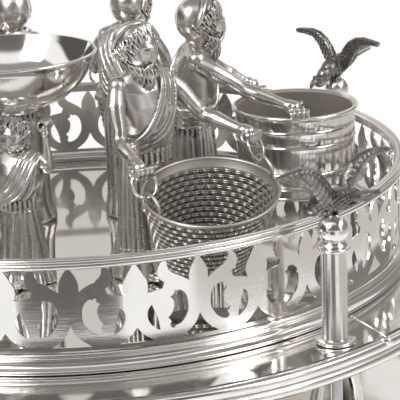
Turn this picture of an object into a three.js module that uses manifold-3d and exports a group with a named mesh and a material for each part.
// A round tiered seder tray in silver: three matzah shelves, a pierced gallery on top,
// and six cast bearers that hold baskets, buckets and bowls.
// Millimetres, +Z up. The origin is the middle of the circle on which the four feet stand.
// Azimuths are in degrees, from the front (-Y) towards +X.
import * as THREE from 'three';
import { mergeVertices } from 'three/addons/utils/BufferGeometryUtils.js';
import Module from 'manifold-3d';

const wasm = await Module();
wasm.setup();

// Driving dimensions.
const GAP = 0.3;              // room between pieces that touch
const RAIL_R = 175;           // outside radius of the gallery's top rail
const RIM_R = 211;            // outside radius of every tier
const PLATE_R = 206;          // radius of the plates inside their rims
const PLATE_T = 1.6;          // thickness of the plates
const RIM_H = 12;             // height of the reeded rims
const TIER_PITCH = 50;        // height from one tier to the next
const FIRST_TIER = 46;        // top of the lowest shelf
const SHELVES = 3;
const GALLERY_SIDES = 54;     // flat sides that stand for each ring of the top tier
const SHELF_SIDES = 36;
const FLANGE_TOP = FIRST_TIER + SHELVES * TIER_PITCH;
const FLOOR_T = 3.6;          // thickness of the mirror floor inside the gallery
const FLOOR_R = 168;
const MOULDING_H = 9;         // moulding under the pierced sheet
const SHEET_H = 39.4;         // pierced sheet, from moulding to rail
const SHEET_R = 171.6;
const SHEET_T = 1;
const RAIL_H = 4.9;
const POST_R = 194.6;         // circle of the four posts
const POST_AZIMUTH = 35.7;    // azimuth of the first post
const ROD_R = 2.2;            // tie rods that hold the tiers together
const BEARER_R = 62;          // circle of the six figures
const BEARER_AZIMUTH = 30;    // azimuth of the first figure
const FLEURON_PITCH = 10;     // degrees from one fleuron to the next
const FLEURON_AZIMUTH = -2.8; // azimuth of a fleuron of the larger kind

const FLOOR_TOP = FLANGE_TOP + GAP + FLOOR_T;
const SHEET_Z = FLANGE_TOP + GAP + MOULDING_H + GAP;
const RAIL_Z = SHEET_Z + SHEET_H + GAP;

const silver = new THREE.MeshStandardMaterial({ color: 0xc9c6c2, metalness: 1, roughness: 0.22 });
const polished = new THREE.MeshStandardMaterial({ color: 0xd2d0cd, metalness: 1, roughness: 0.08 });
const cast = new THREE.MeshStandardMaterial({ color: 0xa29d97, metalness: 1, roughness: 0.34 });
const oxidised = new THREE.MeshStandardMaterial({ color: 0x76716b, metalness: 1, roughness: 0.45 });
const steel = new THREE.MeshStandardMaterial({ color: 0x8e9296, metalness: 1, roughness: 0.4 });

const radians = THREE.MathUtils.degToRad;
const point = (x, y, z) => new THREE.Vector3(x, y, z);

// Welds a geometry into one closed shell whose faces point outward.
function shell(geometry) {
  const bare = geometry.clone();
  for (const name of ['normal', 'uv']) bare.deleteAttribute(name);
  const welded = mergeVertices(bare, 1e-3);
  const spots = welded.attributes.position;
  const corner = (i) => new THREE.Vector3().fromBufferAttribute(spots, i);
  const faces = [];
  let volume = 0;
  for (let i = 0; i < welded.index.count; i += 3) {
    const [a, b, c] = [0, 1, 2].map((k) => welded.index.getX(i + k));
    if (a === b || b === c || c === a) continue;
    faces.push([a, b, c]);
    volume += corner(a).dot(corner(b).cross(corner(c)));
  }
  welded.setIndex(faces.flatMap((face) => (volume < 0 ? face.reverse() : face)));
  return welded;
}

function solid(geometry) {
  const closed = shell(geometry);
  return new wasm.Manifold(new wasm.Mesh({
    numProp: 3,
    vertProperties: new Float32Array(closed.attributes.position.array),
    triVerts: new Uint32Array(closed.index.array),
  }));
}

function geometryOf(manifold) {
  const { vertProperties, triVerts } = manifold.getMesh();
  const geometry = new THREE.BufferGeometry();
  geometry.setAttribute('position', new THREE.BufferAttribute(vertProperties, 3));
  geometry.setIndex(new THREE.BufferAttribute(triVerts, 1));
  return geometry;
}

const join = (geometries) => geometryOf(
  geometries.map(solid).reduce((whole, next) => whole.add(next)));

const cut = (geometry, tools) => geometryOf(
  tools.map(solid).reduce((whole, tool) => whole.subtract(tool), solid(geometry)));

// Turns a closed profile of [radius, height] pairs about the Z axis.
function turned(profile, sides) {
  const points = [...profile, profile[0]].map(([r, z]) => new THREE.Vector2(r, z));
  return new THREE.LatheGeometry(points, sides).rotateX(Math.PI / 2);
}

const rod = (radius, from, to, sides = 6) => turned(
  [[0, from], [radius, from], [radius, to], [0, to]], sides);

// An egg shape with its half sizes along X, Y and Z, leaning by tilt degrees about Y.
function egg(centre, half, sides = 8, rings = 6, tilt = 0) {
  return new THREE.SphereGeometry(1, sides, rings)
    .rotateX(Math.PI / 2)
    .scale(...half)
    .rotateY(radians(tilt))
    .translate(...centre);
}

// A tapered limb between two points.
function limb(from, to, fromRadius, toRadius, sides = 6) {
  const start = point(...from);
  const way = point(...to).sub(start);
  const turn = new THREE.Quaternion().setFromUnitVectors(point(0, 1, 0), way.clone().normalize());
  return new THREE.CylinderGeometry(toRadius, fromRadius, way.length(), sides)
    .translate(0, way.length() / 2, 0)
    .applyQuaternion(turn)
    .translate(...start);
}

// A round wire along a curve through the given points, with closed ends.
function wire(points, radius, steps, sides = 5) {
  const corners = Array.from({ length: sides }, (_, i) => {
    const a = (i / sides) * 2 * Math.PI;
    return new THREE.Vector2(radius * Math.cos(a), radius * Math.sin(a));
  });
  const path = new THREE.CatmullRomCurve3(points.map((p) => point(...p)));
  return new THREE.ExtrudeGeometry(new THREE.Shape(corners),
    { extrudePath: path, steps, curveSegments: 1, bevelEnabled: false });
}

// A plate cut to an outline of [y, z] pairs with holes, thick along X about x = 0.
function plateCut(outline, holes, thickness) {
  const shape = new THREE.Shape(outline.map(([y, z]) => new THREE.Vector2(y, z)));
  shape.holes = holes.map((hole) => new THREE.Path(hole.map(([y, z]) => new THREE.Vector2(y, z))));
  return new THREE.ExtrudeGeometry(shape, { depth: thickness, bevelEnabled: false, curveSegments: 1 })
    .translate(0, 0, -thickness / 2)
    .applyMatrix4(new THREE.Matrix4().set(0, 0, 1, 0, 1, 0, 0, 0, 0, 1, 0, 0, 0, 0, 0, 1));
}

const mirrored = (half) => [...half, ...half.map(([y, z]) => [-y, z]).reverse()
  .filter(([y]) => y !== 0)];

const tray = new THREE.Group();

function add(parent, name, geometry, material) {
  const mesh = new THREE.Mesh(shell(geometry), material);
  mesh.name = name;
  parent.add(mesh);
  return mesh;
}

// A group at an azimuth: its +X points outward and its +Y to growing azimuth.
function station(azimuth) {
  const group = new THREE.Group();
  group.rotation.z = radians(azimuth - 90);
  tray.add(group);
  return group;
}

// Holes for the four tie rods, as cutting solids.
function rodHoles(bottom, top) {
  return [0, 1, 2, 3].map((k) => rod(ROD_R + GAP, bottom, top)
    .translate(POST_R, 0, 0)
    .rotateZ(radians(POST_AZIMUTH + 90 * k - 90)));
}

// One tier: a flat plate inside a rim of reeds, top face at the given height.
function tier(plateName, rimName, top, sides, rimProfile) {
  const disc = turned([[0, top - PLATE_T], [PLATE_R, top - PLATE_T], [PLATE_R, top], [0, top]], sides);
  add(tray, plateName, cut(disc, rodHoles(top - 2 * PLATE_T, top + PLATE_T)), polished);
  const inner = PLATE_R + GAP;
  const ring = [[inner, top - RIM_H], ...rimProfile.map(([r, z]) => [r, top + z]), [inner, top]];
  add(tray, rimName, turned(ring, sides), silver);
}

const SHELF_REEDS = [[RIM_R - 1, -RIM_H], [RIM_R - 1.6, -7], [RIM_R, -2]];
const FLANGE_REEDS = [[RIM_R - 1, -RIM_H], [RIM_R - 0.4, -9.5], [RIM_R - 1.8, -6.5],
  [RIM_R, -3.2], [RIM_R - 1.2, 0]];

for (let k = 0; k < SHELVES; k += 1) {
  tier(`shelf_${k + 1}`, `shelf_rim_${k + 1}`, FIRST_TIER + k * TIER_PITCH,
    SHELF_SIDES, SHELF_REEDS);
}
tier('flange_plate', 'flange_rim', FLANGE_TOP, GALLERY_SIDES, FLANGE_REEDS);

add(tray, 'mirror_floor', turned([[0, FLANGE_TOP + GAP], [FLOOR_R, FLANGE_TOP + GAP],
  [FLOOR_R, FLOOR_TOP], [0, FLOOR_TOP]], GALLERY_SIDES), polished);

// The moulding under the gallery steps out to the flange and in to the floor.
const mouldingZ = FLANGE_TOP + GAP;
add(tray, 'gallery_moulding', turned([
  [FLOOR_R + 0.6, mouldingZ], [177.3, mouldingZ], [177.3, mouldingZ + 2.2],
  [173.8, mouldingZ + MOULDING_H], [169.4, mouldingZ + MOULDING_H],
], GALLERY_SIDES), silver);

add(tray, 'gallery_rail', turned([
  [RAIL_R - 5.8, RAIL_Z], [RAIL_R - 0.6, RAIL_Z], [RAIL_R, RAIL_Z + 3.4],
  [RAIL_R - 1.8, RAIL_Z + RAIL_H], [RAIL_R - 5, RAIL_Z + RAIL_H],
], GALLERY_SIDES), silver);

// Half a repeat of the pierced sheet, in millimetres along the arc and above its foot:
// from the middle of a horned fleuron (0) to the middle of a plain one (HALF).
const HALF = SHEET_R * radians(FLEURON_PITCH);
const BASE = 1.8;
const fretOutline = [
  [0, 0], [HALF / 2, 0], [HALF, 0], [HALF, BASE],
  [HALF - 8.4, BASE], [HALF - 4.2, 4.2], [HALF, 9],
  [HALF, SHEET_H], [HALF - 1.8, SHEET_H], [HALF - 4.4, 33.4], [HALF - 4.8, 25],
  [17.2, 26.2], [19.2, 33.4], [17.6, SHEET_H], [15.2, SHEET_H], [13.2, 33.2],
  [4.4, 28.4], [4, 32.6], [1.8, SHEET_H], [0, SHEET_H],
  [0, 12], [3.2, 6.4], [9, BASE], [0, BASE],
];
const fretHoles = [
  [[12.2, 25.2], [12.6, 17.4], [15.4, 11.6], [13.8, 7], [8.2, 9.4], [5.6, 15.4], [7.4, 22.4]],
  [[22.8, 19.6], [24.8, 14.4], [19.2, 6.6]],
];

// Bends copies of the half repeat round the gallery, every other one turned over.
function piercedSheet(outline, holes, copies) {
  const flat = (list) => list.map(([u, v]) => new THREE.Vector2(u, v));
  const loops = [flat(outline), ...holes.map(flat)];
  const faces = THREE.ShapeUtils.triangulateShape(loops[0], loops.slice(1));
  const spots = loops.flat();
  const onJoin = (a, b) => [0, HALF].some((u) => Math.abs(a.x - u) + Math.abs(b.x - u) < 1e-6);
  const area = ([a, b, c]) => (spots[b].x - spots[a].x) * (spots[c].y - spots[a].y)
    - (spots[c].x - spots[a].x) * (spots[b].y - spots[a].y);
  const positions = [];
  for (let k = 0; k < copies; k += 1) {
    const turnedOver = k % 2 === 1;
    const bend = (spot, radius) => {
      const along = (turnedOver ? HALF - spot.x : spot.x) / HALF;
      const azimuth = radians(FLEURON_AZIMUTH + FLEURON_PITCH * (k + along));
      return [radius * Math.sin(azimuth), -radius * Math.cos(azimuth), SHEET_Z + spot.y];
    };
    const outer = (spot) => bend(spot, SHEET_R);
    const inner = (spot) => bend(spot, SHEET_R - SHEET_T);
    const put = (corners) => positions.push(...(turnedOver ? corners.reverse() : corners).flat());
    for (const face of faces) {
      const [a, b, c] = (area(face) > 0 ? face : [...face].reverse()).map((i) => spots[i]);
      put([outer(a), outer(b), outer(c)]);
      put([inner(a), inner(c), inner(b)]);
    }
    loops.forEach((loop, which) => {
      const rightWay = THREE.ShapeUtils.isClockWise(loop) === (which > 0);
      const path = rightWay ? loop : [...loop].reverse();
      path.forEach((a, i) => {
        const b = path[(i + 1) % path.length];
        if (onJoin(a, b)) return;
        put([outer(a), inner(a), inner(b)]);
        put([outer(a), inner(b), outer(b)]);
      });
    });
  }
  const geometry = new THREE.BufferGeometry();
  geometry.setAttribute('position', new THREE.Float32BufferAttribute(positions, 3));
  return geometry;
}

add(tray, 'gallery_sheet', piercedSheet(fretOutline, fretHoles, 360 / FLEURON_PITCH), polished);

// Four corners of the frame: foot, brackets between the tiers, post, eagle and tie rod.
const CLEAR = TIER_PITCH - PLATE_T - 2 * GAP;
const BRACKET_T = 9;
const BUN_R = 14;
const NUT_H = 4;
const NUT_Z = 2;
const NUT_POCKET = 7;

// A lyre of two bowed arms between a top and a bottom pad.
function lyre(height, low, width) {
  const outline = mirrored([[10, low], [width, low + 0.42 * height],
    [width - 3, low + 0.78 * height], [9, low + height]]);
  const opening = mirrored([[4, low + 6], [width - 6, low + 0.44 * height],
    [width - 9, low + 0.76 * height], [4, low + height - 5]]);
  return plateCut(outline, [opening], BRACKET_T);
}

const rodBore = (from, to) => rod(ROD_R + GAP, from, to);

const EAGLE_FOOT = 259.2;

// An eagle that leans down over the tray, wings raised to both sides.
function eagle() {
  const wing = (side) => {
    const outline = [[3, 12], [10, 21.5], [21, 25], [35, 23.5], [24, 20], [18, 14.5], [5, 2]];
    return plateCut(outline.map(([y, z]) => [side * y, EAGLE_FOOT + z]), [], 2.4)
      .translate(1, 0, 0);
  };
  return join([
    egg([2, 0, EAGLE_FOOT + 7], [15, 6.5, 6], 6, 5, -18),
    egg([-13, 0, EAGLE_FOOT - 0.6], [5.4, 3.8, 3.8], 5, 4, -25),
    limb([12, 0, EAGLE_FOOT + 8], [23, 0, EAGLE_FOOT + 11], 3.6, 4.4, 4),
    limb([0, 0, EAGLE_FOOT], [0, 0, EAGLE_FOOT + 6], 3.4, 4.4, 5),
    wing(1),
    wing(-1),
  ]);
}

const POST_BASE = FLANGE_TOP + GAP;
const BALL_Z = 251.3;
const BALL_R = 7.3;
const postProfile = [
  [0, POST_BASE], [9.5, POST_BASE], [9.3, POST_BASE + 2.6], [6.1, POST_BASE + 4.6],
  [6.1, 241.2], [7.8, 242.4], [7.6, 244.6], [5, 245.6], [BALL_R, BALL_Z],
  [5.2, BALL_Z + 5], [2.8, BALL_Z + 7], [0, BALL_Z + 7.4],
];
const ROD_TOP = POST_BASE + 14;

for (let k = 0; k < 4; k += 1) {
  const corner = station(POST_AZIMUTH + 90 * k);
  const put = (name, geometry, material) => {
    add(corner, `${name}_${k + 1}`, geometry, material).position.x = POST_R;
  };
  const footTop = FIRST_TIER - PLATE_T - GAP;
  const bun = turned([[0, 0], [11, 0], [BUN_R, 4], [BUN_R - 2, 10], [6, 14], [0, 14]], 10);
  put('foot', cut(join([bun, lyre(footTop - 10, 10, 15)]),
    [rodBore(-1, footTop + 1), rod(5.2, -1, NUT_POCKET)]), cast);
  for (let s = 0; s < SHELVES; s += 1) {
    const low = FIRST_TIER + s * TIER_PITCH + GAP;
    put(`bracket_${s + 1}`, cut(lyre(CLEAR, low, 17), [rodBore(low - 1, low + CLEAR + 1)]), cast);
  }
  put('tie_rod', rod(ROD_R, NUT_Z, ROD_TOP), steel);
  put('rod_nut', cut(turned([[0, NUT_Z], [4.4, NUT_Z], [4.4, NUT_Z + NUT_H], [0, NUT_Z + NUT_H]], 6),
    [rodBore(0, NUT_POCKET)]), steel);
  put('post', cut(turned(postProfile, 10), [rodBore(POST_BASE - 1, ROD_TOP + GAP)]), silver);
  put('eagle', eagle(), oxidised);
}

// Vessels, each turned about its own axis with its foot at z = 0.
const WALL = 1.6;
const BASKET = { rim: 34.6, foot: 22.4, height: 40, skew: 5 };
const BUCKET = { rim: 34, foot: 32.6, height: 46.4 };
const BOWL = { rim: 44, foot: 12, height: 30.6 };
const DISH_SCALE = 0.8;

// The basket's foot stands a little to its bearer's right of the rim.
const basketBody = () => turned([
  [0, 0], [BASKET.foot, 0], [28.6, BASKET.height / 2], [BASKET.rim, BASKET.height],
  [BASKET.rim - WALL, BASKET.height], [28.6 - WALL, BASKET.height / 2],
  [BASKET.foot - WALL, WALL], [0, WALL],
], 20).applyMatrix4(new THREE.Matrix4().makeShear(0, 0, 0, 0, 0, BASKET.skew / BASKET.height))
  .translate(0, -BASKET.skew, 0);

const bucketBody = () => turned([
  [0, 0], [BUCKET.foot - 1.4, 0], [BUCKET.foot, 2], [BUCKET.foot, BUCKET.height - 3],
  [BUCKET.rim, BUCKET.height - 1.6], [BUCKET.rim - 0.8, BUCKET.height],
  [BUCKET.foot - WALL, BUCKET.height], [BUCKET.foot - WALL, WALL + 1], [0, WALL + 1],
], 20);

const bowlBody = () => turned([
  [0, 0], [BOWL.foot, 0], [BOWL.foot + 10, 3.4], [35.5, 13],
  [BOWL.rim, BOWL.height], [BOWL.rim - 2.2, BOWL.height], [33.5, 13.8], [20, 5.4], [0, 3.4],
], 20);

// The six bearers stand in a ring. Heights in their stations are above the polished floor.
const bearerStations = ['basket', 'bucket', 'basket', 'dish', 'bucket', 'bowl'];
const RAIL_TOP = RAIL_Z + RAIL_H;
const aboveFloor = (belowRail) => RAIL_TOP + belowRail - FLOOR_TOP;
const onFloor = (geometry) => geometry.translate(0, 0, FLOOR_TOP + GAP);

const ARM_R = 3.7;
const SOCKET_ROOM = 1;

// A robed figure at BEARER_R: size is its height, lean how far its shoulders come forward,
// and arms the elbow and the hand of each side.
function bearer(size, lean, girth, arms) {
  const x = BEARER_R;
  const at = (share) => share * size;
  const robe = turned([[0, 0], [girth + 3, 0], [girth + 3, 2.4], [girth, 4],
    [0.78 * girth, at(0.52)], [0, at(0.52)]], 8).translate(x, 0, 0);
  const chest = egg([x + 0.6 * lean, 0, at(0.63)], [0.72 * girth, 1.12 * girth, 0.2 * size], 7, 5);
  const head = egg([x + lean + 2.5, 0, at(0.885)], [0.105 * size, 0.088 * size, 0.115 * size], 7, 5);
  const neck = limb([x + 0.7 * lean, 0, at(0.76)], [x + lean + 1, 0, at(0.84)], 5, 5, 5);
  const pieces = [robe, chest, head, neck];
  for (const { side, elbow, hand } of arms) {
    const shoulder = [x + 0.9 * lean, side * 0.85 * girth, at(0.74)];
    pieces.push(wire([shoulder, elbow, hand], ARM_R, 4, 4));
    pieces.push(egg(hand, [4.2, 4.2, 4.2], 5, 4));
  }
  return join(pieces);
}

// The basket hangs from two rings in the bearer's fists, by the inner shoulders of its
// ears, so it hangs tipped forward. The rings lean in from the ears to the fists.
const RING_R = 6.8;
const WIRE_R = 0.8;
const EAR_RISE = 7;
const EAR_HALF = 7;
const EAR_SETBACK = 2;
const EAR_HOLD = { inward: 4.2, down: 0.9 };        // the ring's place from the ear's crown
const EAR_PLAY = 0.5;                               // room between a ring and its ear
const RING_LEAN = 22;
const RING_TWIST = { left: 28, right: 0 };
const BASKET_PLACE = { x: 109.6, y: 10.2, z: 2.9, turn: -3, tiltX: 7.2, tiltY: -11.4 };

function basketMatrix() {
  const { x, y, z, turn, tiltX, tiltY } = BASKET_PLACE;
  return new THREE.Matrix4().makeTranslation(x, y, RAIL_TOP + z)
    .multiply(new THREE.Matrix4().makeRotationFromEuler(
      new THREE.Euler(radians(tiltX), radians(-tiltY), radians(turn), 'XYZ')))
    .multiply(new THREE.Matrix4().makeTranslation(0, 0, -BASKET.height));
}

const EAR_Y = BASKET.rim - WALL;

function ear(side) {
  const crown = BASKET.height + EAR_RISE;
  return wire([[-EAR_HALF, BASKET.height - 1.4], [-EAR_HALF, crown - 4],
    [-EAR_HALF / 2, crown - 0.6], [0, crown], [EAR_HALF / 2, crown - 0.6],
    [EAR_HALF, crown - 4], [EAR_HALF, BASKET.height - 1.4],
  ].map(([x, z]) => [x - EAR_SETBACK, side * EAR_Y, z]), WIRE_R, 9, 4);
}

const handName = (side) => (side > 0 ? 'left' : 'right');

// Where a ring is: its hold on the ear, its upward way and normal, and its top in the fist.
function ringPlace(side) {
  const hold = point(-EAR_SETBACK - EAR_HOLD.inward, side * EAR_Y,
    BASKET.height + EAR_RISE - EAR_HOLD.down).applyMatrix4(basketMatrix());
  const twist = radians(RING_TWIST[handName(side)]);
  const level = point(-Math.sin(twist), Math.cos(twist), 0);
  const up = point(-Math.cos(twist), -Math.sin(twist), 0)
    .multiplyScalar(Math.sin(radians(RING_LEAN)))
    .setZ(Math.cos(radians(RING_LEAN)));
  const normal = level.cross(up);
  const grip = hold.clone().addScaledVector(up, 2 * RING_R - 2 * WIRE_R - EAR_PLAY);
  return { side, up, normal, grip };
}

// A ring of wire, or with room added the socket that it leaves in a fist.
function ring({ grip, up, normal }, room = 0) {
  const turn = new THREE.Quaternion().setFromUnitVectors(point(0, 0, 1), normal);
  return new THREE.TorusGeometry(RING_R, WIRE_R + room, 4, 12)
    .applyQuaternion(turn)
    .translate(...grip.clone().addScaledVector(up, -RING_R));
}

bearerStations.forEach((kind, index) => {
  const number = index + 1;
  const place = station(BEARER_AZIMUTH + 60 * index);
  const base = FLOOR_TOP + GAP;

  if (kind === 'basket') {
    const hands = [1, -1].map(ringPlace);
    const arms = hands.map(({ side, grip }) => ({
      side,
      elbow: [BEARER_R + 14, side > 0 ? 30 : -20, side > 0 ? 82 : 76],
      hand: [grip.x, grip.y, grip.z - base],
    }));
    const sockets = hands.map((hand) => ring(hand, SOCKET_ROOM));
    add(place, `bearer_${number}`, cut(onFloor(bearer(133, 5, 14, arms)), sockets), cast);
    hands.forEach((hand) => {
      add(place, `ring_${handName(hand.side)}_${number}`, ring(hand), silver);
    });
    add(place, `basket_${number}`,
      join([basketBody(), ear(1), ear(-1)]).applyMatrix4(basketMatrix()), silver);
  }

  if (kind === 'bucket') {
    const rimTop = aboveFloor(21.6) - GAP;
    const arms = [
      { side: -1, elbow: [BEARER_R + 26, -19, 86], hand: [115, -29, rimTop + 4.6] },
      { side: 1, elbow: [BEARER_R + 18, 23, 88], hand: [99, 27.5, rimTop + 4.6] },
    ];
    add(place, `bearer_${number}`, onFloor(bearer(133, 3, 14, arms)), cast);
    add(place, `bucket_${number}`,
      onFloor(bucketBody().translate(118, 2, rimTop - BUCKET.height)), polished);
  }

  if (kind === 'dish') {
    const dishFoot = aboveFloor(49) - DISH_SCALE * BOWL.height;
    const arms = [1, -1].map((side) => (
      { side, elbow: [BEARER_R + 18, side * 25, 78], hand: [108, side * 25, dishFoot - 1] }));
    add(place, `bearer_${number}`, onFloor(bearer(133, 5, 14, arms)), cast);
    const dish = bowlBody().scale(DISH_SCALE, DISH_SCALE, DISH_SCALE);
    add(place, `dish_${number}`, onFloor(dish.translate(114, 0, dishFoot)), polished);
  }

  if (kind === 'bowl') {
    const size = 86;
    const bowlFoot = size + 1;
    const arms = [1, -1].map((side) => (
      { side, elbow: [BEARER_R - 2, side * 16, 60], hand: [BEARER_R - 4, side * 15, bowlFoot - 4.6] }));
    add(place, `bearer_${number}`, onFloor(bearer(size, 0, 12, arms)), cast);
    add(place, `bowl_${number}`,
      onFloor(bowlBody().translate(BEARER_R - 4, -3, bowlFoot + 1.4)), polished);
  }
});

export default tray;
